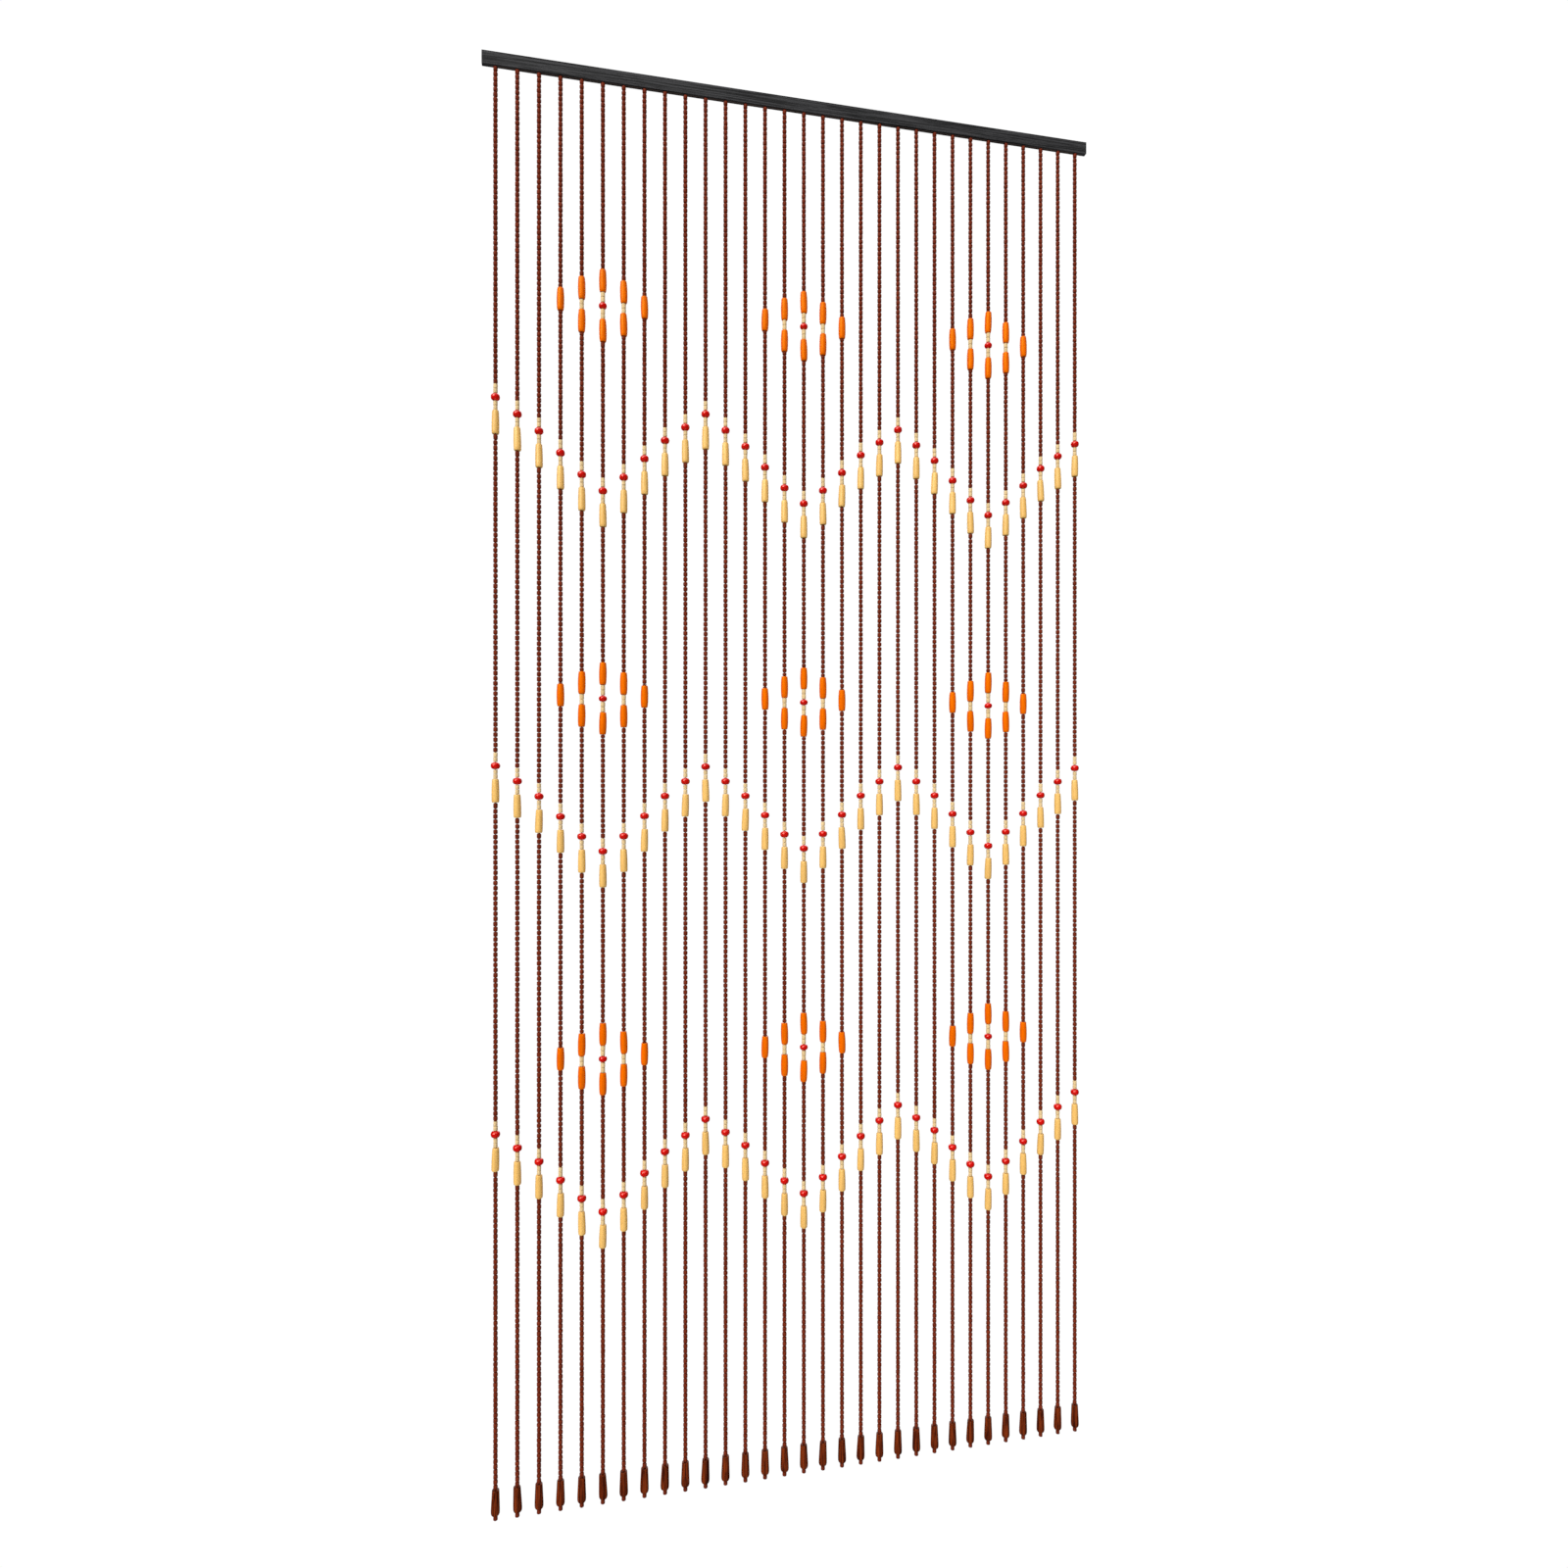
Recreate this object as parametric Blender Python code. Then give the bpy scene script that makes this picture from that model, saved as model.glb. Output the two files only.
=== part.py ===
"""Bead curtain for a doorway: strands of wooden beads that hang from a wooden header bar.

Metres, +Z up. X runs along the bar and the front faces -Y. The origin is the middle of the
bar's top face, which lies against the underside of the lintel.
"""

from collections import namedtuple
from itertools import groupby

import bmesh
import bpy
from mathutils import Matrix

CURTAIN_WIDTH = 0.900
CURTAIN_DROP = 2.000
CLEARANCE = 0.0003

BAR_HEIGHT = 0.018
BAR_DEPTH = 0.007
BAR_EDGE = 0.0005
GROOVE_WIDTH = 0.0030
GROOVE_DEPTH = 0.0033

STRAND_COUNT = 31
STRAND_PITCH = 0.0288
STRIP_MARGIN = 0.003
NECK_SLOTS = 0.08

# Lengths along a strand are counted in slots. One slot holds one small bead.
STRAND_SLOTS = 284
SLOT = (CURTAIN_DROP - BAR_HEIGHT - CLEARANCE) / STRAND_SLOTS
SMALL_BEAD_WIDTH = 0.0058

# A ring is a place along a bead, as a share of its length from the top, and the width there.
Ring = namedtuple("Ring", "share width")
Bead = namedtuple("Bead", "slots finish outline")

RED_OUTLINE = (Ring(0.27, 0.0122), Ring(0.73, 0.0122))
ORANGE_OUTLINE = (Ring(0.03, 0.0087), Ring(0.28, 0.0102), Ring(0.94, 0.0096))
CREAM_OUTLINE = (Ring(0.03, 0.0087), Ring(0.33, 0.0101), Ring(0.97, 0.0104))
DROP_OUTLINE = (Ring(0.02, 0.0091), Ring(0.80, 0.0117), Ring(0.94, 0.0111))

BEADS = {
    "brown": Bead(1, "brown_bead", ()),
    "half": Bead(0.5, "brown_bead", ()),
    "cream": Bead(1, "cream_bead", ()),
    "long cream": Bead(1.05, "cream_bead", ()),
    "red": Bead(1.4, "red_bead", RED_OUTLINE),
    "orange barrel": Bead(4.5, "orange_bead", ORANGE_OUTLINE),
    "cream barrel": Bead(4.6, "cream_bead", CREAM_OUTLINE),
    "drop": Bead(5, "dark_drop", DROP_OUTLINE),
    "end": Bead(1, "brown_bead", ()),
}

PAIR = ("cream", "cream")
ZIGZAG_UNIT = (*PAIR, "red", *PAIR, "cream barrel")
PETAL = ("orange barrel",)
SIDE_PETALS = (*PETAL, *PAIR, *PETAL)
HEART = (*PETAL, *PAIR, "red", "long cream", "long cream", *PETAL)
FOOT = ("drop", "end")

# The zigzags peak on every tenth strand, and lie lower by so many slots on the strands
# nought to five places away from a peak.
PEAK_EVERY = 10
ZIGZAG_TOPS = (62, 134, 206)
ZIGZAG_FALL = (0, 3, 6, 10, 14, 17)

# A flower fills the three kinds of strand around each valley, one flower above each zigzag.
Flower = namedtuple("Flower", "top beads")
FLOWERS = {
    3: (Flower(42, (*PETAL, "half")), Flower(120, ("half", *PETAL)), Flower(192, ("half", *PETAL))),
    4: (Flower(39, ("half", *SIDE_PETALS, "half")), Flower(118, SIDE_PETALS), Flower(190, SIDE_PETALS)),
    5: (Flower(37, ("half", *HEART)), Flower(116, (*HEART, "half")), Flower(188, (*HEART, "half"))),
}

Finish = namedtuple("Finish", "colour roughness")
FINISHES = {
    "charcoal_bar": Finish((0.040, 0.040, 0.042), 0.60),
    "brown_bead": Finish((0.150, 0.022, 0.010), 0.45),
    "cream_bead": Finish((0.850, 0.600, 0.240), 0.50),
    "red_bead": Finish((0.700, 0.006, 0.006), 0.15),
    "orange_bead": Finish((1.000, 0.175, 0.004), 0.40),
    "dark_drop": Finish((0.095, 0.018, 0.006), 0.40),
}


def clear_scene():
    for thing in list(bpy.data.objects):
        bpy.data.objects.remove(thing, do_unlink=True)


def finish(name):
    """A material with this finish's colour and roughness."""
    material = bpy.data.materials.new(name)
    material.use_nodes = True
    shader = material.node_tree.nodes["Principled BSDF"]
    shader.inputs["Base Color"].default_value = (*FINISHES[name].colour, 1.0)
    shader.inputs["Roughness"].default_value = FINISHES[name].roughness
    shader.inputs["Metallic"].default_value = 0.0
    material.diffuse_color = (*FINISHES[name].colour, 1.0)
    return material


def add_object(name, mesh):
    """Turns a bmesh into an object of this name in the scene."""
    data = bpy.data.meshes.new(name)
    mesh.to_mesh(data)
    mesh.free()
    thing = bpy.data.objects.new(name, data)
    bpy.context.scene.collection.objects.link(thing)
    return thing


def block(name, size, centre):
    """A plain block of this size around a centre."""
    mesh = bmesh.new()
    bmesh.ops.create_cube(mesh, size=1.0)
    place = Matrix.Translation(centre) @ Matrix.Diagonal((*size, 1.0))
    bmesh.ops.transform(mesh, matrix=place, verts=mesh.verts)
    return add_object(name, mesh)


def strand_x(index):
    return (index - (STRAND_COUNT - 1) / 2) * STRAND_PITCH


def strip_half_length():
    return strand_x(STRAND_COUNT - 1) + STRIP_MARGIN


def height(slots):
    """World height of a place on a strand, so many slots below its first bead's top."""
    return -BAR_HEIGHT - CLEARANCE - slots * SLOT


def make_header_bar():
    """The batten, with a stopped groove in its underside for the strands' strip."""
    size = (CURTAIN_WIDTH, BAR_DEPTH, BAR_HEIGHT)
    bar = block("header_bar", size, (0.0, 0.0, -BAR_HEIGHT / 2))
    bar.data.materials.append(finish("charcoal_bar"))
    bevel = bar.modifiers.new("eased edges", "BEVEL")
    bevel.width = BAR_EDGE
    bevel.segments = 2
    groove_size = (2 * (strip_half_length() + CLEARANCE), GROOVE_WIDTH, 2 * GROOVE_DEPTH)
    groove = block("groove_cutter", groove_size, (0.0, 0.0, -BAR_HEIGHT))
    groove.hide_render = True
    groove.display_type = "WIRE"
    cut = bar.modifiers.new("groove", "BOOLEAN")
    cut.operation = "DIFFERENCE"
    cut.object = groove


def distance_from_peak(index):
    """How many places a strand is from the nearest peak of the zigzag."""
    step = index % PEAK_EVERY
    return min(step, PEAK_EVERY - step)


def units(distance):
    """The patterned units of a strand, top to bottom, as pairs of first slot and beads."""
    placed = [(top + ZIGZAG_FALL[distance], ZIGZAG_UNIT) for top in ZIGZAG_TOPS]
    placed += [(flower.top, flower.beads) for flower in FLOWERS.get(distance, ())]
    foot_slots = sum(BEADS[name].slots for name in FOOT)
    placed.append((STRAND_SLOTS - foot_slots, FOOT))
    return sorted(placed)


def bead_names(distance):
    """Every bead of a strand, top to bottom, with brown ones between the patterned units."""
    names = []
    filled = 0
    for top, beads in units(distance):
        names += ["brown"] * round(top - filled)
        names += beads
        filled = top + sum(BEADS[name].slots for name in beads)
    return names


def strand_rings(distance):
    """Places down a strand as (slots from the top, width, finish of the stretch above)."""
    rings = [(NECK_SLOTS, SMALL_BEAD_WIDTH, "brown_bead")]
    top = 0
    beads = [BEADS[name] for name in bead_names(distance)]
    for (outline, finish_name), run in groupby(beads, key=lambda bead: (bead.outline, bead.finish)):
        length = sum(bead.slots for bead in run)
        rings += [(top + ring.share * length, ring.width, finish_name) for ring in outline]
        top += length
        rings.append((top, SMALL_BEAD_WIDTH, finish_name))
    return rings


def strip_with_roots():
    """The strip that carries the strands, and the square faces in its underside they grow from."""
    mesh = bmesh.new()
    half_width = GROOVE_WIDTH / 2 - CLEARANCE
    low = height(0)
    high = -BAR_HEIGHT + GROOVE_DEPTH - CLEARANCE
    end = strip_half_length()
    stations = [-end]
    for index in range(STRAND_COUNT):
        stations += [strand_x(index) - half_width, strand_x(index) + half_width]
    stations.append(end)
    front = [mesh.verts.new((x, -half_width, low)) for x in stations]
    back = [mesh.verts.new((x, half_width, low)) for x in stations]
    above_front = [mesh.verts.new((x, -half_width, high)) for x in (-end, end)]
    above_back = [mesh.verts.new((x, half_width, high)) for x in (-end, end)]
    cells = []
    for cell in range(len(stations) - 1):
        cells.append(mesh.faces.new((front[cell], back[cell], back[cell + 1], front[cell + 1])))
    mesh.faces.new((*front, above_front[1], above_front[0]))
    mesh.faces.new((*reversed(back), above_back[0], above_back[1]))
    mesh.faces.new((above_front[0], above_front[1], above_back[1], above_back[0]))
    mesh.faces.new((front[0], above_front[0], above_back[0], back[0]))
    mesh.faces.new((front[-1], back[-1], above_back[1], above_front[1]))
    return mesh, cells[1::2]


def hang_strand(mesh, root, centre_x, rings, slot_of):
    """Extrudes a root face down through a strand's rings."""
    tip = root
    for slots, width, finish_name in rings:
        tip = bmesh.ops.extrude_discrete_faces(mesh, faces=[tip])["faces"][0]
        for corner in tip.verts:
            corner.co.x = centre_x + width / 2 * (1 if corner.co.x > centre_x else -1)
            corner.co.y = width / 2 * (1 if corner.co.y > 0 else -1)
            corner.co.z = height(slots)
        for edge in tip.edges:
            for side in edge.link_faces:
                side.material_index = slot_of[finish_name]


def make_bead_strands():
    """All the strands, four-sided, with the red beads, barrels and drops at their real size."""
    mesh, roots = strip_with_roots()
    finish_names = sorted({bead.finish for bead in BEADS.values()})
    slot_of = {name: number for number, name in enumerate(finish_names)}
    for index, root in enumerate(roots):
        rings = strand_rings(distance_from_peak(index))
        hang_strand(mesh, root, strand_x(index), rings, slot_of)
    strands = add_object("bead_strands", mesh)
    for name in finish_names:
        strands.data.materials.append(finish(name))


def main():
    clear_scene()
    make_header_bar()
    make_bead_strands()


main()
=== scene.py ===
# %% [markdown]
# # A doorway curtain of wooden beads
#
# Thirty-one straight strings of turned wooden beads hang from a flat charcoal batten. Most of the
# beads are small and brown. Pale barrels with a red bead above them draw three zigzags across the
# curtain, orange barrels draw nine flowers, and every string ends in a dark drop.
#
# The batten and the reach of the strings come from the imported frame. This script turns the beads,
# threads them, and gives each kind its wood.

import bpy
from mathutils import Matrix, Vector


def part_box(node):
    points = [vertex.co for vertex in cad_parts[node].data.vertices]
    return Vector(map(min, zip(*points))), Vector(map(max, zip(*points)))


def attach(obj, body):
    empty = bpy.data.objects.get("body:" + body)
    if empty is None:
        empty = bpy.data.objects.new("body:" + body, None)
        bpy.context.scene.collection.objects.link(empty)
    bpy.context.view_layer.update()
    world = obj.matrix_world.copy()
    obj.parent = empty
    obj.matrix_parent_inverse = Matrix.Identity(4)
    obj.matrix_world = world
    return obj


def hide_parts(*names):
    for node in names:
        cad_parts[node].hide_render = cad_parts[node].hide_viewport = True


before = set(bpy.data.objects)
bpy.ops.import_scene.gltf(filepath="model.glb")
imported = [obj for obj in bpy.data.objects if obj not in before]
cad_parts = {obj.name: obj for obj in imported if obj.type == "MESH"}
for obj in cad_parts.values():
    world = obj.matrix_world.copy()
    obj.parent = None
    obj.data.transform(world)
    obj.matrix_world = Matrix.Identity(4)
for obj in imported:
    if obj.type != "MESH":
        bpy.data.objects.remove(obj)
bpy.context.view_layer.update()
print("frame nodes:", sorted(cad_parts))

# %% [markdown]
# ## Tools and a seed
#
# Blender's bmesh turns each kind of bead once, and numpy joins the thousands of copies. Every small
# chance in the curtain comes from one seeded generator, so it is the same curtain each time.

# %% Modules and a seed
import math
from collections import namedtuple
from random import Random

import bmesh
import bpy
import numpy as np
from mathutils import Matrix, Vector

SEED = 31
chance = Random(SEED)
print("seed", SEED)

# %% [markdown]
# ## The camera
#
# The curtain was seen from a little left of its middle, from close by, so the batten and the row
# of drops run together towards the right. The camera stands level at half height. A level camera
# keeps the strings upright in the picture, and the tiny vertical shift only sets the framing.

# %% Camera
CAMERA_PLACE = (-0.3286, -1.3787, -0.9984)
CAMERA_YAW = math.radians(12.239)
CAMERA_LENS = 22.324
CAMERA_SHIFT = 0.001
SENSOR_WIDTH = 36.0
NEAREST = 0.05
FARTHEST = 60.0

camera_data = bpy.data.cameras.new("camera")
camera_data.sensor_width = SENSOR_WIDTH
camera_data.lens = CAMERA_LENS
camera_data.shift_y = CAMERA_SHIFT
camera_data.clip_start = NEAREST
camera_data.clip_end = FARTHEST
camera = bpy.data.objects.new("camera", camera_data)
camera.location = CAMERA_PLACE
camera.rotation_euler = (math.pi / 2, 0.0, -CAMERA_YAW)
bpy.context.scene.collection.objects.link(camera)
bpy.context.scene.camera = camera
print("camera", tuple(camera.location), "lens", camera_data.lens, "mm")

# %% [markdown]
# ## Measures of the strings
#
# Everything along a string is counted in slots. One slot is the room of one small brown bead, so
# the whole pattern can be written down by counting beads, as a threader does.
# The slot's real length comes from the frame: from the batten's underside down to the last tip.
# Neighbouring beads keep a hair's breadth apart, and the thread shows in that gap.

# %% Measures
bar_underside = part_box("header_bar")[0].z
strands_low, strands_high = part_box("bead_strands")

STRAND_COUNT = 31
STRAND_SLOTS = 284
CLEARANCE = 0.0003
STRAND_PITCH = 0.0288
SLOT_TOP = bar_underside - CLEARANCE
SLOT = (SLOT_TOP - strands_low.z) / STRAND_SLOTS
BEAD_GAP = 0.00038
print(f"slot {SLOT * 1000:.3f} mm, {STRAND_COUNT} strings {STRAND_PITCH * 1000:.1f} mm apart")


def strand_x(index):
    """Where a string hangs along the batten."""
    return (index - (STRAND_COUNT - 1) / 2) * STRAND_PITCH


def height(slots):
    """World height of a place on a string, so many slots below its first bead's top."""
    return SLOT_TOP - slots * SLOT


# %% [markdown]
# ## Helpers for materials
#
# A material is a small tree of nodes. Writing out every node and link by hand would bury the
# recipe, so small helpers do it. The first adds a node with its settings. The second starts a
# finish: a number that is the same all over a surface is set on the shader's own socket there.

# %% Material helpers


def add_node(tree, kind, inputs=(), **settings):
    """A new node with these settings, and fixed values for the named inputs."""
    made = tree.nodes.new(kind)
    for name, value in settings.items():
        setattr(made, name, value)
    for name, value in dict(inputs).items():
        made.inputs[name].default_value = value
    return made


def start_finish(name, **sockets):
    """A material with a Principled shader, and its tree and shader for further work."""
    material = bpy.data.materials.new(name)
    material.use_nodes = True
    tree = material.node_tree
    shader = tree.nodes["Principled BSDF"]
    for socket, value in sockets.items():
        shader.inputs[socket.replace("_", " ")].default_value = value
    return material, tree, shader


print("Principled shaders with their numbers on their own sockets")

# %% [markdown]
# ## Helpers for patterns
#
# Each of these adds one step of a pattern, links what feeds it, and hands back its output. All the
# figures here are noise in Object coordinates. A Mapping node squeezes the noise, which draws it
# out along the axis with the smallest scale, so one helper serves wood, lacquer and yarn.

# %% Pattern helpers
FULL_RANGE = (0.0, 1.0)


def own_number(tree, name):
    """A number that each bead carries on its corners."""
    return add_node(tree, "ShaderNodeAttribute", attribute_name=name).outputs["Fac"]


def add_noise(tree, scale, detail, roughness=0.5, rotation=(0.0, 0.0, 0.0), **settings):
    """Noise in Object coordinates, squeezed by a scale for each axis."""
    place = add_node(tree, "ShaderNodeTexCoord")
    squeeze = add_node(tree, "ShaderNodeMapping", {"Scale": scale, "Rotation": rotation})
    tree.links.new(place.outputs["Object"], squeeze.inputs["Vector"])
    inputs = {"Scale": 1.0, "Detail": detail, "Roughness": roughness}
    noise = add_node(tree, "ShaderNodeTexNoise", inputs, **settings)
    tree.links.new(squeeze.outputs["Vector"], noise.inputs["Vector"])
    return noise


def fit_range(tree, value, before=FULL_RANGE, after=FULL_RANGE):
    """Stretches a value from one range to another."""
    ends = {"From Min": before[0], "From Max": before[1], "To Min": after[0], "To Max": after[1]}
    stretch = add_node(tree, "ShaderNodeMapRange", ends)
    tree.links.new(value, stretch.inputs["Value"])
    return stretch.outputs["Result"]


def multiply(tree, value, factor):
    """A value times a fixed number."""
    product = add_node(tree, "ShaderNodeMath", {1: factor}, operation="MULTIPLY")
    tree.links.new(value, product.inputs[0])
    return product.outputs["Value"]


print("patterns run over", FULL_RANGE)

# %% [markdown]
# ## Helpers for colour and relief
#
# A finish mixes two colours by its figure, makes each bead a little lighter or darker, lets a
# stain soak in, and raises the grain with a low bump.

# %% Colour and relief helpers


def mix_colours(tree, first, second, share):
    """From the first colour to the second, by a share between nought and one."""
    mix = add_node(tree, "ShaderNodeMix", data_type="RGBA")
    mix.inputs["A"].default_value = (*first, 1.0)
    mix.inputs["B"].default_value = (*second, 1.0)
    tree.links.new(share, mix.inputs["Factor"])
    return mix.outputs["Result"]


def stain_over(tree, colour, stain, share):
    """A colour seen through a stain, by a share between nought and one."""
    mix = add_node(tree, "ShaderNodeMix", data_type="RGBA", blend_type="MULTIPLY")
    mix.inputs["B"].default_value = (*stain, 1.0)
    tree.links.new(share, mix.inputs["Factor"])
    tree.links.new(colour, mix.inputs["A"])
    return mix.outputs["Result"]


def brighten(tree, colour, value):
    """A colour made brighter or darker by a value around one."""
    shade = add_node(tree, "ShaderNodeHueSaturation")
    tree.links.new(value, shade.inputs["Value"])
    tree.links.new(colour, shade.inputs["Color"])
    return shade.outputs["Color"]


def add_bump(tree, height, strength, depth):
    """A bumped normal from a height."""
    bump = add_node(tree, "ShaderNodeBump", {"Strength": strength, "Distance": depth})
    tree.links.new(height, bump.inputs["Height"])
    return bump.outputs["Normal"]


print("helpers:", ", ".join(step.__name__ for step in (mix_colours, stain_over, brighten, add_bump)))

# %% [markdown]
# ## Turned wood
#
# Beads are turned with the grain along their hole, so their figure is long streaks from end to
# end. Noise in Object coordinates, squeezed along Z, gives such streaks with no seam. Each bead
# also carries one random number, its tone. The tone moves the bead to another place in the
# four-dimensional noise, so no two beads show the same figure, and it makes some beads a little
# paler and others darker, as pieces from different billets are. End grain drinks more stain than
# the sides, so a second number, which rises to one at a bead's ends, darkens its rims.

# %% Turned wood finish
TONE_REACH = 50.0
END_STAIN = (0.45, 0.38, 0.34)
DEEP_IS_ROUGHER = 0.12
GRAIN_DEPTH = 0.0002

WOOD_COLUMNS = "pale deep roughness shine gleam across along figure spread rim relief"
Wood = namedtuple("Wood", WOOD_COLUMNS)


def turned_wood(name, wood):
    """Stained or natural turned wood: streaks along the hole, and a tone for each bead."""
    gleam = (*wood.gleam, 1.0)
    sockets = {"Metallic": 0.0, "Specular_IOR_Level": wood.shine, "Specular_Tint": gleam}
    material, tree, shader = start_finish(name, **sockets)
    link = tree.links.new
    tone = own_number(tree, "tone")
    squeeze = (wood.across, wood.across, wood.along)
    streaks = add_noise(tree, squeeze, detail=4.0, roughness=0.6, noise_dimensions="4D")
    link(multiply(tree, tone, TONE_REACH), streaks.inputs["W"])
    grain = streaks.outputs["Fac"]
    figure = fit_range(tree, grain, before=wood.figure)
    colour = mix_colours(tree, wood.pale, wood.deep, figure)
    billet = fit_range(tree, tone, after=(1 - wood.spread, 1 + wood.spread))
    soak = multiply(tree, own_number(tree, "end_grain"), wood.rim)
    stained = stain_over(tree, brighten(tree, colour, billet), END_STAIN, soak)
    link(stained, shader.inputs["Base Color"])
    gloss = fit_range(tree, figure, after=(wood.roughness, wood.roughness + DEEP_IS_ROUGHER))
    link(gloss, shader.inputs["Roughness"])
    link(add_bump(tree, grain, wood.relief, GRAIN_DEPTH), shader.inputs["Normal"])
    return material


print("turned wood takes:", WOOD_COLUMNS)

# %% [markdown]
# ## The five woods
#
# Brown beads are stained a reddish mahogany. The small pale beads are raw wood, a greyish straw,
# while the long barrels are a warmer honey. The orange barrels wear a clear stain, and the drops a
# dark one that lets a reddish grain show. Across and along say how fine the streaks are, in noise
# cells for each metre, and a narrow figure gives sharp streaks.

# %% Wood finishes
WOODS = {
    "brown stain": Wood(
        pale=(0.164, 0.0240, 0.0080), deep=(0.091, 0.0112, 0.0034), roughness=0.36,
        shine=0.055, gleam=(1.0, 0.75, 0.7), across=900, along=160,
        figure=(0.36, 0.64), spread=0.08, rim=0.2, relief=0.10),
    "raw straw": Wood(
        pale=(0.635, 0.475, 0.247), deep=(0.57, 0.41, 0.208), roughness=0.55,
        shine=0.08, gleam=(1.0, 0.9, 0.6), across=900, along=160,
        figure=(0.36, 0.66), spread=0.05, rim=0.25, relief=0.06),
    "honey": Wood(
        pale=(0.76, 0.465, 0.130), deep=(0.64, 0.350, 0.085), roughness=0.34,
        shine=0.55, gleam=(1.0, 1.0, 0.80), across=640, along=30,
        figure=(0.35, 0.67), spread=0.04, rim=0.4, relief=0.05),
    "orange stain": Wood(
        pale=(0.74, 0.122, 0.0001), deep=(0.58, 0.080, 0.0001), roughness=0.34,
        shine=0.45, gleam=(0.8, 0.7, 0.01), across=640, along=30,
        figure=(0.36, 0.66), spread=0.03, rim=0.5, relief=0.05),
    "dark stain": Wood(
        pale=(0.168, 0.024, 0.003), deep=(0.026, 0.002, 0.0004), roughness=0.28,
        shine=0.13, gleam=(1.0, 0.8, 0.6), across=640, along=16,
        figure=(0.41, 0.60), spread=0.06, rim=0.5, relief=0.12),
}
finishes = {name: turned_wood(name.replace(" ", "_"), wood) for name, wood in WOODS.items()}
print("woods:", ", ".join(finishes))

# %% [markdown]
# ## Red lacquer
#
# The red beads are dipped, not stained: a thick clear gloss lies over an even red. A clear coat on
# the Principled shader gives the second, sharper reflection. A very low, wide noise in the coat
# stands for the slight waviness of a dipped lacquer.

# %% Red lacquer
LACQUER_RED = (0.545, 0.0010, 0.0010)
LACQUER_DEEP = (0.465, 0.0006, 0.0006)
LACQUER_SPREAD = (0.95, 1.05)
WAVES = 260.0
WAVE_STRENGTH = 0.06
WAVE_DEPTH = 0.0002


def red_lacquer():
    """An even red under a thick, clear and slightly wavy gloss."""
    material, tree, shader = start_finish(
        "red_lacquer", Metallic=0.0, Roughness=0.28, Coat_Weight=0.6, Coat_Roughness=0.09,
        Specular_IOR_Level=0.5, Specular_Tint=(1.0, 0.5, 0.3, 1.0))
    waves = add_noise(tree, (WAVES, WAVES, WAVES), detail=2.0).outputs["Fac"]
    colour = mix_colours(tree, LACQUER_RED, LACQUER_DEEP, waves)
    bead = fit_range(tree, own_number(tree, "tone"), after=LACQUER_SPREAD)
    tree.links.new(brighten(tree, colour, bead), shader.inputs["Base Color"])
    normal = add_bump(tree, waves, WAVE_STRENGTH, WAVE_DEPTH)
    tree.links.new(normal, shader.inputs["Normal"])
    tree.links.new(normal, shader.inputs["Coat Normal"])
    return material


finishes["red lacquer"] = red_lacquer()
print("finishes:", ", ".join(finishes))

# %% [markdown]
# ## Small beads
#
# Every bead is a turned shape, so its outline is a short table: how far down the bead, as a share
# of its length, and how wide it is there. The brown beads are short drums with rounded shoulders,
# and come in three outlines, because a row of identical ones looks printed. The straw beads have
# squarer ends, and a pair of them reads as one pale stick.

# %% Outlines of the small beads
Ring = namedtuple("Ring", "share width")


def profile(*places):
    """A turned outline, from the top down, as pairs of a share of the length and a width."""
    return tuple(Ring(*place) for place in places)


BROWN_OUTLINES = (
    profile((0, 0.0028), (0.07, 0.0050), (0.22, 0.0061), (0.76, 0.0061), (0.93, 0.0050), (1, 0.0028)),
    profile((0, 0.0026), (0.08, 0.0049), (0.26, 0.0062), (0.73, 0.0061), (0.91, 0.0049), (1, 0.0026)),
    profile((0, 0.0030), (0.06, 0.0052), (0.20, 0.0061), (0.80, 0.0060), (0.94, 0.0051), (1, 0.0028)),
)
STRAW_OUTLINES = (
    profile((0, 0.0052), (0.03, 0.0056), (0.09, 0.0058), (0.91, 0.0058), (0.97, 0.0056), (1, 0.0052)),
)
WIDE_STRAW_OUTLINES = (
    profile((0, 0.0056), (0.03, 0.0060), (0.09, 0.0062), (0.91, 0.0062), (0.97, 0.0060), (1, 0.0056)),
)
END_OUTLINES = (profile((0, 0.0046), (0.15, 0.0058), (0.95, 0.0060), (1, 0.0056)),)
print(len(BROWN_OUTLINES), "outlines of brown beads")

# %% [markdown]
# ## Barrels and drops
#
# The pale barrels widen slowly from a narrow top, the orange ones swell in their middle, and the
# drops grow down to a rounded foot. They are the largest beads, so their tables have more rows.

# %% Outlines of the barrels and the drop
CREAM_BARREL = profile(
    (0, 0.0074), (0.012, 0.0083), (0.04, 0.0089), (0.12, 0.0093), (0.26, 0.0097), (0.42, 0.0101),
    (0.60, 0.0103), (0.82, 0.0103), (0.93, 0.0101), (0.975, 0.0095), (1, 0.0082),
)
ORANGE_BARREL = profile(
    (0, 0.0080), (0.015, 0.0089), (0.07, 0.0092), (0.15, 0.0096), (0.25, 0.0101), (0.40, 0.0105),
    (0.60, 0.0105), (0.75, 0.0103), (0.88, 0.0098), (0.96, 0.0090), (1, 0.0076),
)
DROP = profile(
    (0, 0.0090), (0.01, 0.0096), (0.05, 0.0098), (0.15, 0.0101), (0.30, 0.0105), (0.45, 0.0110),
    (0.60, 0.0114), (0.75, 0.0118), (0.87, 0.0119), (0.93, 0.0116), (0.965, 0.0109),
    (0.987, 0.0099), (1, 0.0086),
)
for label, rows in (("cream barrel", CREAM_BARREL), ("orange barrel", ORANGE_BARREL), ("drop", DROP)):
    print(f"{label}: {max(row.width for row in rows) * 1000:.1f} mm wide")

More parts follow.
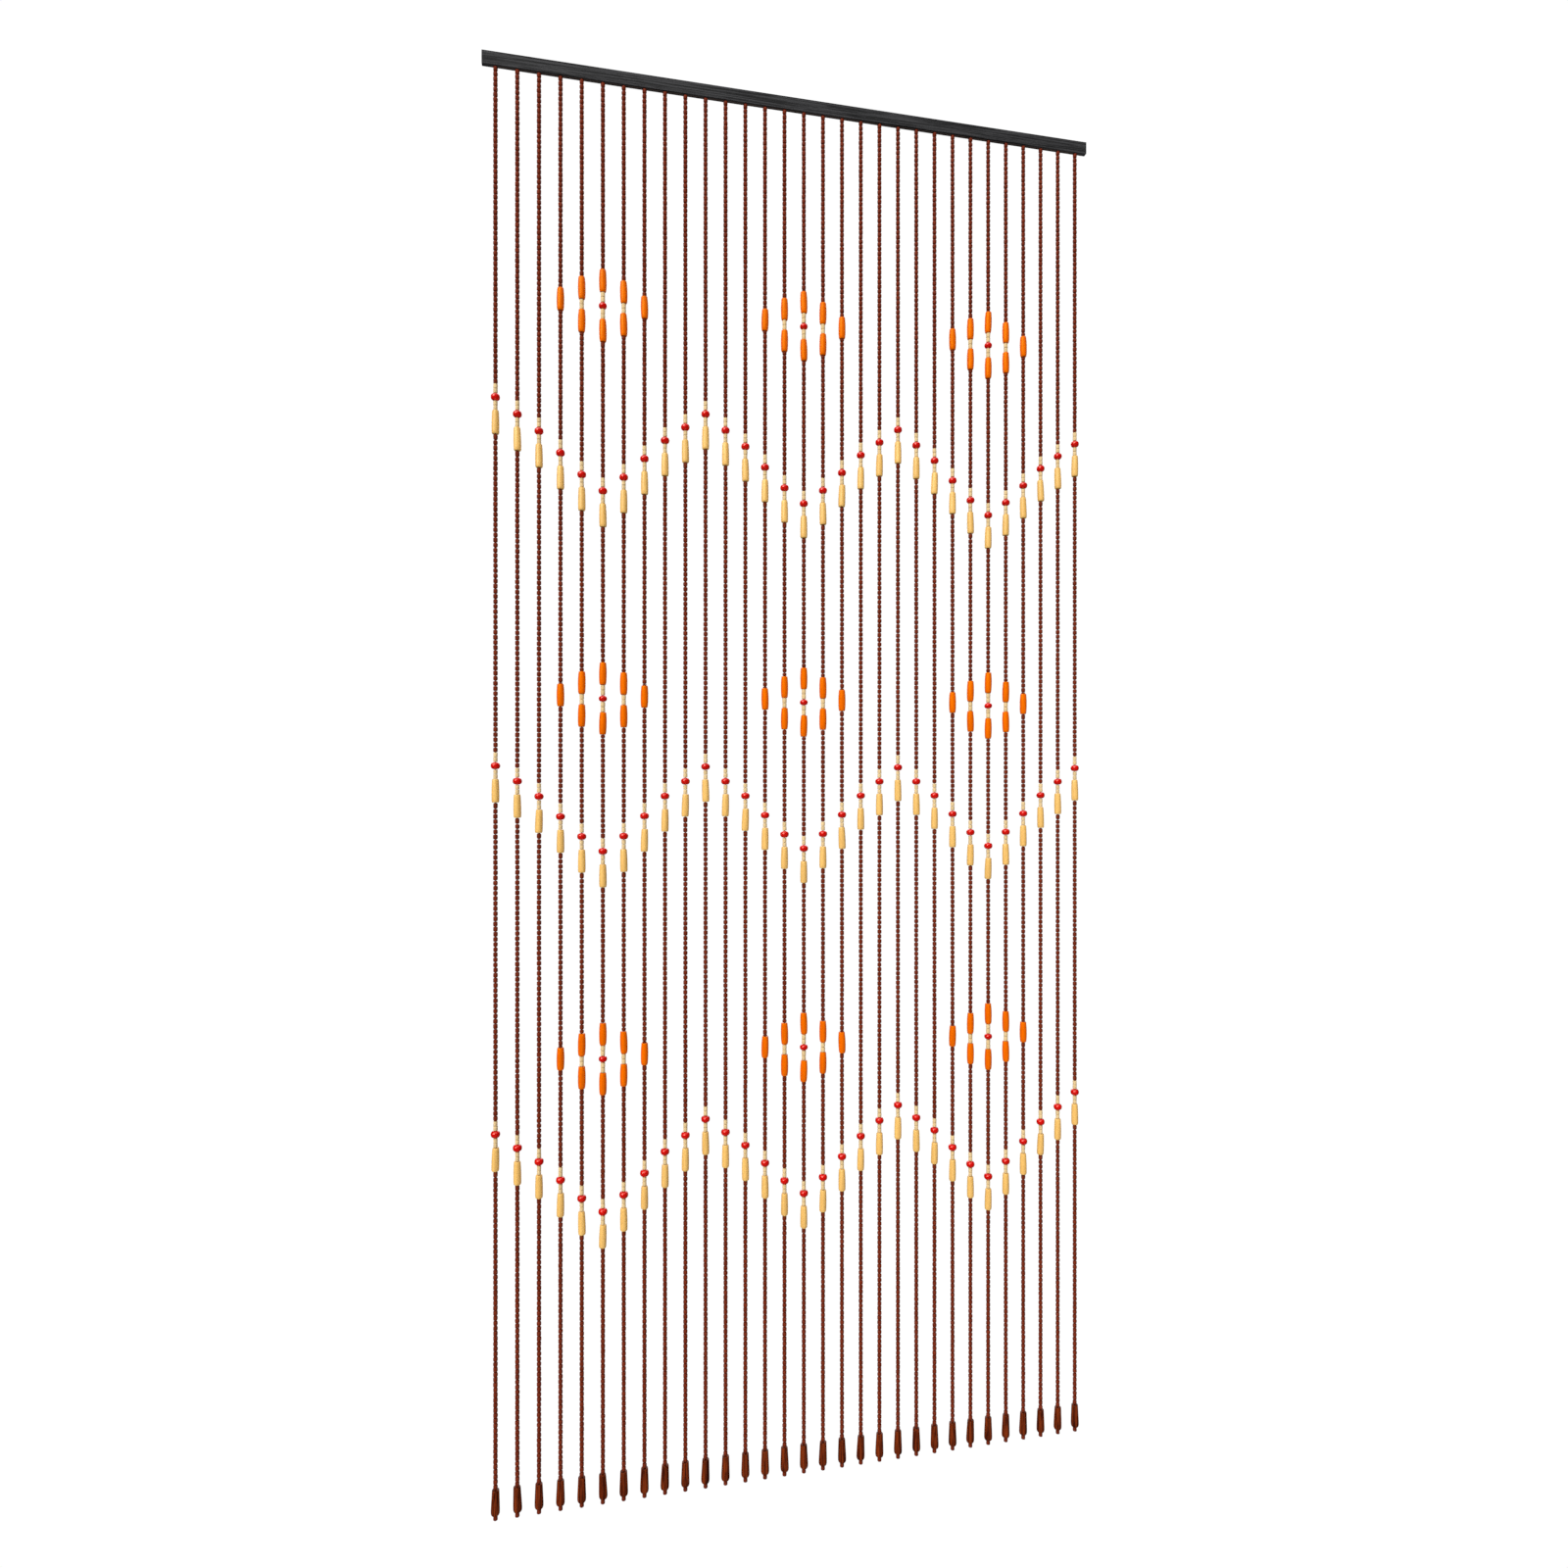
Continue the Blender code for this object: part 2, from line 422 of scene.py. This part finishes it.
# %% [markdown]
# ## Red balls
#
# The red beads are balls pressed to an oval, a little fuller than an ellipse. A formula gives such
# an outline better than a table: the rings follow a superellipse, and start and end at the rim of
# the threading hole.

# %% Outlines of the red beads


def flattened_ball(width, power, first, steps):
    """Rings of a ball pressed to an oval, from its hole's rim over its belly to the other rim."""
    rings = []
    for step in range(steps + 1):
        angle = first + (math.pi - 2 * first) * step / steps
        across = math.sin(angle) ** (2 / power)
        along = math.copysign(abs(math.cos(angle)) ** (2 / power), math.cos(angle))
        rings.append(Ring((1 - along) / 2, width * across))
    return tuple(rings)


RIM_ANGLE = math.radians(14)
BALL_STEPS = 10
RED_BALL = flattened_ball(0.0125, 2.4, RIM_ANGLE, BALL_STEPS)
SMALL_RED_BALL = flattened_ball(0.0117, 2.3, RIM_ANGLE, BALL_STEPS)
print(len(RED_BALL), "rings down a red bead")

# %% [markdown]
# ## All the beads
#
# One table holds what the rest of the script asks about a bead: its length in slots, the joined
# piece it goes to, the record's material slot, its finish, the width of its threading hole, the
# faces round it, and its outlines. The small beads are repeated thousands of times and their ends
# almost touch, so they get few faces and plain closed ends, which the table gives as no bore.

# %% Bead table
Bead = namedtuple("Bead", "slots piece record_slot finish bore sides outlines")

BEADS = {
    "brown": Bead(1, "brown_beads", "brown_bead", "brown stain", 0, 9, BROWN_OUTLINES),
    "straw": Bead(0.92, "straw_beads", "cream_bead", "raw straw", 0, 10, STRAW_OUTLINES),
    "wide straw": Bead(1.03, "straw_beads", "cream_bead", "raw straw", 0, 10, WIDE_STRAW_OUTLINES),
    "red": Bead(1.47, "red_beads", "red_bead", "red lacquer", 0.0018, 20, (RED_BALL,)),
    "small red": Bead(1.33, "red_beads", "red_bead", "red lacquer", 0.0018, 20, (SMALL_RED_BALL,)),
    "orange barrel": Bead(
        4.5, "orange_barrels", "orange_bead", "orange stain", 0.0020, 20, (ORANGE_BARREL,)),
    "cream barrel": Bead(4.65, "honey_barrels", "cream_bead", "honey", 0.0020, 20, (CREAM_BARREL,)),
    "drop": Bead(4.9, "drops", "dark_drop", "dark stain", 0.0020, 24, (DROP,)),
    "end": Bead(1, "end_beads", "brown_bead", "brown stain", 0.0014, 12, END_OUTLINES),
}
print(len(BEADS), "kinds of bead")

# %% [markdown]
# ## The lathe
#
# A real lathe spins the wood against a still blade. The spin operator does the reverse: it carries
# the outline once round the Z axis and leaves a skin behind, and the last outline merges with the
# first, so there is no seam. Where a bead has a bore, the outline goes down the outside and back up
# through the hole, so the bead is a closed ring with no pole. The hole's ends are dished a little,
# as a drill leaves them. Each kind is turned once, and kept as arrays for the copies.

# %% The lathe
DISH = 0.00015


def turn_bead(outline, length, bore, sides):
    """A turned bead with its hole along Z and its middle at the origin; no bore gives plain ends."""
    lathe = bmesh.new()
    corners = [lathe.verts.new((ring.width / 2, 0.0, length * (0.5 - ring.share))) for ring in outline]
    if bore:
        corners += [lathe.verts.new((bore / 2, 0.0, side * (length / 2 - DISH))) for side in (-1, 1)]
    edges = [lathe.edges.new(pair) for pair in zip(corners, corners[1:])]
    if bore:
        edges.append(lathe.edges.new((corners[-1], corners[0])))
    bmesh.ops.spin(lathe, geom=corners + edges, cent=(0, 0, 0), axis=(0, 0, 1),
                   angle=2 * math.pi, steps=sides, use_merge=True)
    if not bore:
        bmesh.ops.holes_fill(lathe, edges=lathe.edges, sides=sides)
    bmesh.ops.recalc_face_normals(lathe, faces=lathe.faces)
    shape = bpy.data.meshes.new("turned bead")
    lathe.to_mesh(shape)
    lathe.free()
    return shape


print(f"the holes' ends are dished {DISH * 1000:.2f} mm")

# %% [markdown]
# ## Turned shapes as arrays
#
# The copies are made by arithmetic on arrays, so each turned bead is read into them once. The
# number that darkens the end grain is worked out here too, from how near a corner is to an end.

# %% Turned shapes
Shape = namedtuple("Shape", "corners faces end_grain")
END_DEPTH = 0.0005


def as_arrays(mesh):
    """A turned bead's corners, its faces, and how near to its ends each corner lies."""
    corners = np.array([corner.co for corner in mesh.vertices])
    faces = [list(face.vertices) for face in mesh.polygons]
    from_end = corners[:, 2].max() - np.abs(corners[:, 2])
    return Shape(corners, faces, np.clip(1 - from_end / END_DEPTH, 0, 1))


shapes = {}
for name, bead in BEADS.items():
    length = bead.slots * SLOT - BEAD_GAP
    turned = [turn_bead(outline, length, bead.bore, bead.sides) for outline in bead.outlines]
    shapes[name] = [as_arrays(mesh) for mesh in turned]
    print(f"{name}: {length * 1000:.1f} mm long, {len(turned[0].polygons)} faces")

# %% [markdown]
# ## The pattern
#
# The zigzags peak on every tenth string, so what a string carries depends only on how many places
# it is from the nearest peak, from none to five. Six kinds of string are enough for the whole
# curtain. Each unit of the pattern is a short row of beads and the slot where it starts.

# %% Pattern tables
PAIR = ("straw", "straw")
WIDE_PAIR = ("wide straw", "wide straw")
ZIGZAG_UNIT = (*PAIR, "red", *PAIR, "cream barrel")
PETAL = ("orange barrel",)
SIDE_PETALS = (*PETAL, *WIDE_PAIR, *PETAL)
HEART = (*PETAL, *WIDE_PAIR, "small red", *WIDE_PAIR, *PETAL)
FOOT = ("drop", "end")

PEAK_EVERY = 10
ZIGZAG_TOPS = (62, 134, 206)
ZIGZAG_FALL = (0, 3, 6, 10, 14, 17)

FLOWERS = {
    3: (PETAL, (41.9, 120.3, 192.3)),
    4: (SIDE_PETALS, (39.25, 117.75, 189.75)),
    5: (HEART, (37.4, 115.85, 187.85)),
}
FOOT_TOP = 278
print("zigzag unit:", ", ".join(ZIGZAG_UNIT))

# %% [markdown]
# ## Threading
#
# Brown beads fill the rest of a string. Their joints fall on whole slots from the top, which is
# what lines them up from string to string. Where a unit starts or ends between two joints, the
# last brown bead is a shorter or a slightly longer one, as a threader picks one out that fits.

# %% Threading order
SHORTEST = 0.3

Unit = namedtuple("Unit", "top group beads")
Threaded = namedtuple("Threaded", "name top slots group")


def distance_from_peak(index):
    """How many places a string is from the nearest peak of the zigzag."""
    step = index % PEAK_EVERY
    return min(step, PEAK_EVERY - step)


def units(distance):
    """The patterned units of a string, top to bottom."""
    placed = [Unit(FOOT_TOP, "foot", FOOT)]
    for row, top in enumerate(ZIGZAG_TOPS, start=1):
        placed.append(Unit(top + ZIGZAG_FALL[distance], f"zigzag_{row}", ZIGZAG_UNIT))
    if distance in FLOWERS:
        beads, tops = FLOWERS[distance]
        placed += [Unit(top, f"flowers_{row}", beads) for row, top in enumerate(tops, start=1)]
    return sorted(placed)


def brown_run(top, bottom):
    """Brown beads between two places on a string, with their joints on whole slots."""
    whole = range(math.ceil(top + SHORTEST), math.floor(bottom - SHORTEST) + 1)
    joints = [top, *whole, bottom]
    return [Threaded("brown", high, low - high, "plain") for high, low in zip(joints, joints[1:])]


def threading(distance):
    """Every bead of a string, top to bottom, with brown ones between the units."""
    order = []
    filled = 0
    for unit in units(distance):
        order += brown_run(filled, unit.top)
        filled = unit.top
        for name in unit.beads:
            order.append(Threaded(name, filled, BEADS[name].slots, unit.group))
            filled += BEADS[name].slots
    return order


for distance in range(PEAK_EVERY // 2 + 1):
    print(f"{distance} from a peak: {len(threading(distance))} beads")

# %% [markdown]
# ## Hanging the beads
#
# No two turned beads are quite alike, and none sits quite straight on its thread. Each copy is
# turned by chance, leans by a degree or so, and is a hair thicker or thinner. The seed is fixed,
# so the curtain is the same each time.

# %% Place every bead
LEAN = math.radians(0.9)
SMALL_SPREAD = 0.015
LARGE_SPREAD = 0.004
SIDE_STEP = 0.00003

Hung = namedtuple("Hung", "shape matrix tone")


def hang(threaded, index):
    """One bead on its string, with its small chances."""
    middle = height(threaded.top + threaded.slots / 2)
    stretch = threaded.slots / BEADS[threaded.name].slots
    step = (chance.gauss(0, SIDE_STEP), chance.gauss(0, SIDE_STEP))
    to_place = Matrix.Translation((strand_x(index) + step[0], step[1], middle))
    lean = Matrix.Rotation(chance.gauss(0, LEAN), 4, "X")
    lean = lean @ Matrix.Rotation(chance.gauss(0, LEAN), 4, "Y")
    thick = 1 + chance.gauss(0, LARGE_SPREAD if BEADS[threaded.name].bore else SMALL_SPREAD)
    size = Matrix.Diagonal((thick, thick, stretch, 1.0))
    turn = Matrix.Rotation(chance.uniform(0, 2 * math.pi), 4, "Z")
    return Hung(chance.choice(shapes[threaded.name]), to_place @ lean @ size @ turn, chance.random())


def piece_name(threaded, index):
    """The joined piece that a bead belongs to: brown beads by pairs of strings, others by unit."""
    kind = BEADS[threaded.name].piece
    if kind == "brown_beads":
        first = index - index % 2 + 1
        return f"brown_beads_{first:02d}"
    return f"{threaded.group}_{kind}"


Joined = namedtuple("Joined", "bead hung")
pieces = {}
for index in range(STRAND_COUNT):
    for threaded in threading(distance_from_peak(index)):
        piece = pieces.setdefault(piece_name(threaded, index), Joined(BEADS[threaded.name], []))
        piece.hung.append(hang(threaded, index))
print(sum(len(piece.hung) for piece in pieces.values()), "beads in", len(pieces), "pieces")

# %% [markdown]
# ## Joining the copies
#
# Thousands of separate objects would be slow to handle. The copies of a turned bead are joined
# into one mesh by array arithmetic instead: each bead's matrix moves the turned corners, and the
# faces repeat with a growing offset. Each bead's tone and end grain are written on its corners,
# where the finishes read them.

# %% Join the copies
SHARP_ANGLE = math.radians(52)


def join_copies(name, hung):
    """One mesh of all these beads, with the tone of each and its end grain on its corners."""
    corners, faces, tones, ends = [], [], [], []
    first = 0
    for bead in hung:
        matrix = np.array(bead.matrix)
        corners.append(bead.shape.corners @ matrix[:3, :3].T + matrix[:3, 3])
        faces += [[first + corner for corner in face] for face in bead.shape.faces]
        tones.append(np.full(len(bead.shape.corners), bead.tone))
        ends.append(bead.shape.end_grain)
        first += len(bead.shape.corners)
    mesh = bpy.data.meshes.new(name)
    mesh.from_pydata(np.concatenate(corners).tolist(), [], faces)
    for attribute, values in (("tone", tones), ("end_grain", ends)):
        made = mesh.attributes.new(attribute, "FLOAT", "POINT")
        made.data.foreach_set("value", np.concatenate(values))
    mesh.shade_smooth()
    mesh.set_sharp_from_angle(angle=SHARP_ANGLE)
    return mesh


print(f"edges sharper than {math.degrees(SHARP_ANGLE):.0f} degrees stay crisp")

# %% [markdown]
# ## Dressing the pieces
#
# Each joined mesh becomes a piece that rides on the curtain's one body and stands in for the plain
# strings of the frame.

# %% Dress the pieces


def add_piece(name, mesh, finish):
    """Puts a finished mesh in the scene as a piece that stands for the plain strings."""
    piece = bpy.data.objects.new(name, mesh)
    bpy.context.scene.collection.objects.link(piece)
    mesh.materials.append(finish)
    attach(piece, "root")
    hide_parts("bead_strands")


total = 0
for name, joined in sorted(pieces.items()):
    mesh = join_copies(name, joined.hung)
    add_piece(name, mesh, finishes[joined.bead.finish])
    triangles = sum(len(face.vertices) - 2 for face in mesh.polygons)
    total += triangles
    print(f"{name}: {len(joined.hung)} beads, {triangles} triangles")
print(total, "triangles of beads")

# %% [markdown]
# ## The threads
#
# A brown thread runs through each string of beads, and shows only as a dark line between two beads
# and in the holes. Its finish is noise drawn out on a slant, as the fibres of a twisted yarn lie,
# with painted shade in the grooves between the fibres, so it is darker there than on them.

# %% Yarn finish
YARN_TWIST = (0.0, 0.6, 0.6)
YARN_STRENGTH = 0.4
YARN_DEPTH = 0.0001
FIBRE_GROOVE_SHADE = 0.5

Yarn = namedtuple("Yarn", "colour roughness scale")
YARNS = {
    "thread_yarn": Yarn((0.16, 0.045, 0.022), 0.75, (900.0, 900.0, 250.0)),
    "tape_yarn": Yarn((0.05, 0.035, 0.030), 0.85, (700.0, 300.0, 700.0)),
}


def twisted_yarn(name):
    """Fine twisted yarn, with painted shade between its fibres, and a low bump."""
    yarn = YARNS[name]
    material, tree, shader = start_finish(name, Metallic=0.0, Roughness=yarn.roughness)
    fibres = add_noise(tree, yarn.scale, detail=3.0, rotation=YARN_TWIST).outputs["Fac"]
    # Painted shade: the yarn's colour at half brightness in the grooves between fibres.
    between = tuple(FIBRE_GROOVE_SHADE * part for part in yarn.colour)
    tree.links.new(mix_colours(tree, yarn.colour, between, fibres), shader.inputs["Base Color"])
    normal = add_bump(tree, fibres, YARN_STRENGTH, YARN_DEPTH)
    tree.links.new(normal, shader.inputs["Normal"])
    return material


print("yarns:", ", ".join(YARNS))

# %% [markdown]
# ## Drawing out the threads
#
# A thread is a drawn-out circle: one small disc inside the tape, extruded down the whole string
# into the end bead's hole. A curve with a round bevel would do as well, but this needs no
# conversion, and its two ends are closed from the start.

# %% Threads
THREAD_WIDTH = 0.0011
THREAD_SIDES = 8
TAPE_SINK = 0.0010
THREAD_END = 0.0012


def make_threads():
    """Every thread, from inside the tape down into the end bead's hole."""
    threads = bmesh.new()
    top = strands_high.z - TAPE_SINK
    bottom = strands_low.z + THREAD_END
    for index in range(STRAND_COUNT):
        at = Matrix.Translation((strand_x(index), 0.0, top))
        ring = bmesh.ops.create_circle(threads, cap_ends=True, segments=THREAD_SIDES,
                                       radius=THREAD_WIDTH / 2, matrix=at)
        cap = next(iter(ring["verts"][0].link_faces))
        grown = bmesh.ops.extrude_face_region(threads, geom=[cap])
        lower = [part for part in grown["geom"] if isinstance(part, bmesh.types.BMVert)]
        bmesh.ops.translate(threads, vec=(0.0, 0.0, bottom - top), verts=lower)
    bmesh.ops.recalc_face_normals(threads, faces=threads.faces)
    mesh = bpy.data.meshes.new("threads")
    threads.to_mesh(mesh)
    threads.free()
    mesh.shade_smooth()
    mesh.set_sharp_from_angle(angle=SHARP_ANGLE)
    return mesh


add_piece("threads", make_threads(), twisted_yarn("thread_yarn"))
print(STRAND_COUNT, "threads")

# %% [markdown]
# ## The tape
#
# The threads hang from a narrow woven tape that is pressed into the batten's groove. It is a block
# with its edges eased, because only its lower face can be seen, from right underneath.

# %% Tape in the groove
TAPE_EDGE = 0.0003
TAPE_WIDTH = 0.0024


def make_tape():
    """The tape in the batten's groove, as long and wide as the plain strip."""
    low, high = SLOT_TOP, strands_high.z
    tape = bmesh.new()
    bmesh.ops.create_cube(tape, size=1.0)
    size = Matrix.Diagonal((strands_high.x - strands_low.x, TAPE_WIDTH, high - low, 1.0))
    middle = Matrix.Translation((0, 0, (low + high) / 2))
    bmesh.ops.transform(tape, matrix=middle @ size, verts=tape.verts)
    bmesh.ops.bevel(tape, geom=tape.edges, offset=TAPE_EDGE, segments=2, affect="EDGES",
                    profile=0.5, material=-1)
    mesh = bpy.data.meshes.new("tape")
    tape.to_mesh(mesh)
    tape.free()
    return mesh


add_piece("tape", make_tape(), twisted_yarn("tape_yarn"))
print(f"tape {(strands_high.x - strands_low.x) * 1000:.0f} mm long")

# %% [markdown]
# ## The charcoal batten
#
# The batten is a plain strip of wood under a charcoal stain. The frame's own batten has the right
# shape, so it stays and only gets its finish. The grain runs along the batten: long low streaks,
# a touch lighter and darker than the stain, and finer pores that catch the light.

# %% Charcoal stain
STAIN_DEEP = (0.0040, 0.0040, 0.0045)
STAIN_WORN = (0.036, 0.036, 0.038)
LONG_STREAKS = (10.0, 640.0, 640.0)
FINE_PORES = (60.0, 3200.0, 3200.0)
PORE_SHARE = 0.35
STAIN_FIGURE = (0.61, 0.75)
STAIN_ROUGHNESS = (0.68, 0.50)
PORE_STRENGTH = 0.35
PORE_DEPTH = 0.0003


def charcoal_stain():
    """A satin, nearly black stain over a straight grain that runs along the batten."""
    material, tree, shader = start_finish("charcoal_stain", Metallic=0.0, Specular_IOR_Level=0.25)
    link = tree.links.new
    streaks = add_noise(tree, LONG_STREAKS, detail=6.0, roughness=0.65).outputs["Fac"]
    pores = add_noise(tree, FINE_PORES, detail=2.0).outputs["Fac"]
    both = add_node(tree, "ShaderNodeMath", {1: PORE_SHARE}, operation="MULTIPLY_ADD")
    link(pores, both.inputs[0])
    link(streaks, both.inputs[2])
    grain = both.outputs["Value"]
    figure = fit_range(tree, grain, before=STAIN_FIGURE)
    link(mix_colours(tree, STAIN_DEEP, STAIN_WORN, figure), shader.inputs["Base Color"])
    link(fit_range(tree, figure, after=STAIN_ROUGHNESS), shader.inputs["Roughness"])
    link(add_bump(tree, grain, PORE_STRENGTH, PORE_DEPTH), shader.inputs["Normal"])
    return material


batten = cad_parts["header_bar"]
batten.data.materials.clear()
batten.data.materials.append(charcoal_stain())
print("batten dressed")

# %% [markdown]
# ## Light
#
# The light is a plain soft studio light. Suns with wide discs light the curtain the same from the
# batten down to the drops, as a bank of large softboxes would. The key comes from the upper left
# in front, and a second one from overhead brightens every bead's shoulder, which draws the joints
# apart. A weak one stands for the floor's bounce and lights the undersides, and another from
# behind keeps the back from going flat. The bounce is hidden from glossy rays, so that the gloss
# shows the softboxes alone.

# %% Light
Softbox = namedtuple("Softbox", "strength azimuth elevation disc in_gloss")

# The columns: strength, degrees round to the left, degrees up, the disc's width in degrees, and
# whether gloss shows it.
SOFTBOXES = {
    "key": Softbox(3.2, 46, 33, 45, True),
    "top": Softbox(1.4, 10, 76, 60, True),
    "bounce": Softbox(1.2, 0, -62, 90, False),
    "back": Softbox(1.8, 190, 32, 60, True),
}


def direction(azimuth, elevation):
    """The way to a lamp that stands so many degrees round to the left and up."""
    around, up = math.radians(azimuth), math.radians(elevation)
    return Vector((-math.sin(around) * math.cos(up), -math.cos(around) * math.cos(up), math.sin(up)))


for name, box in SOFTBOXES.items():
    lamp = bpy.data.lights.new(name, "SUN")
    lamp.energy = box.strength
    lamp.angle = math.radians(box.disc)
    sun = bpy.data.objects.new(name, lamp)
    sun.rotation_mode = "QUATERNION"
    sun.rotation_quaternion = direction(box.azimuth, box.elevation).to_track_quat("Z", "Y")
    sun.visible_glossy = box.in_gloss
    bpy.context.scene.collection.objects.link(sun)
    print(f"{name}: strength {box.strength}, {box.azimuth} degrees round, {box.elevation} up")

# %% [markdown]
# ## An even world
#
# A weak white world fills the shadows from all sides. It is hidden from glossy rays too, as in a
# studio with dark walls.

# %% World
WORLD_STRENGTH = 0.36
WHITE = (1.0, 1.0, 1.0, 1.0)
BLACK = (0.0, 0.0, 0.0, 1.0)

world = bpy.data.worlds.new("studio")
world.use_nodes = True
background = world.node_tree.nodes["Background"]
background.inputs["Color"].default_value = WHITE
background.inputs["Strength"].default_value = WORLD_STRENGTH
bpy.context.scene.world = world
world.cycles_visibility.glossy = False
bpy.context.scene.view_settings.view_transform = "Standard"
print("world strength", WORLD_STRENGTH)

# %% [markdown]
# ## Floor and cove
#
# The backdrop is a photographer's cove carried right round: a round floor that curves up into a
# closed dome, so every view has the same plain white behind it. It glows evenly and is seen by the
# camera alone, so it neither lights the beads nor shows in their gloss.

# %% Floor and cove
FLOOR_GAP = 0.03
COVE_RADIUS = 8.0
COVE_STEPS = 12
COVE_SIDES = 48
COVE_GLOW = 1.02
TOUCHING = 0.0001


def make_cove():
    """A round floor that curves up into a closed dome."""
    floor = strands_low.z - FLOOR_GAP
    outline = [(0.0, floor)]
    for step in range(COVE_STEPS + 1):
        angle = math.pi / 2 * step / COVE_STEPS
        outline.append((COVE_RADIUS * math.cos(angle), floor + COVE_RADIUS * math.sin(angle)))
    cove = bmesh.new()
    corners = [cove.verts.new((radius, 0.0, high)) for radius, high in outline]
    edges = [cove.edges.new(pair) for pair in zip(corners, corners[1:])]
    bmesh.ops.spin(cove, geom=corners + edges, cent=(0, 0, 0), axis=(0, 0, 1),
                   angle=2 * math.pi, steps=COVE_SIDES, use_merge=True)
    bmesh.ops.remove_doubles(cove, verts=cove.verts, dist=TOUCHING)
    mesh = bpy.data.meshes.new("studio_cove")
    cove.to_mesh(mesh)
    cove.free()
    return mesh


white_glow = start_finish(
    "studio_white", Base_Color=BLACK, Specular_IOR_Level=0.0,
    Emission_Color=WHITE, Emission_Strength=COVE_GLOW)[0]

cove = bpy.data.objects.new("studio_cove", make_cove())
cove.data.materials.append(white_glow)
bpy.context.scene.collection.objects.link(cove)
cove.visible_diffuse = False
cove.visible_glossy = False
cove.visible_transmission = False
cove.visible_shadow = False
print(f"floor {FLOOR_GAP * 1000:.0f} mm under the strings")
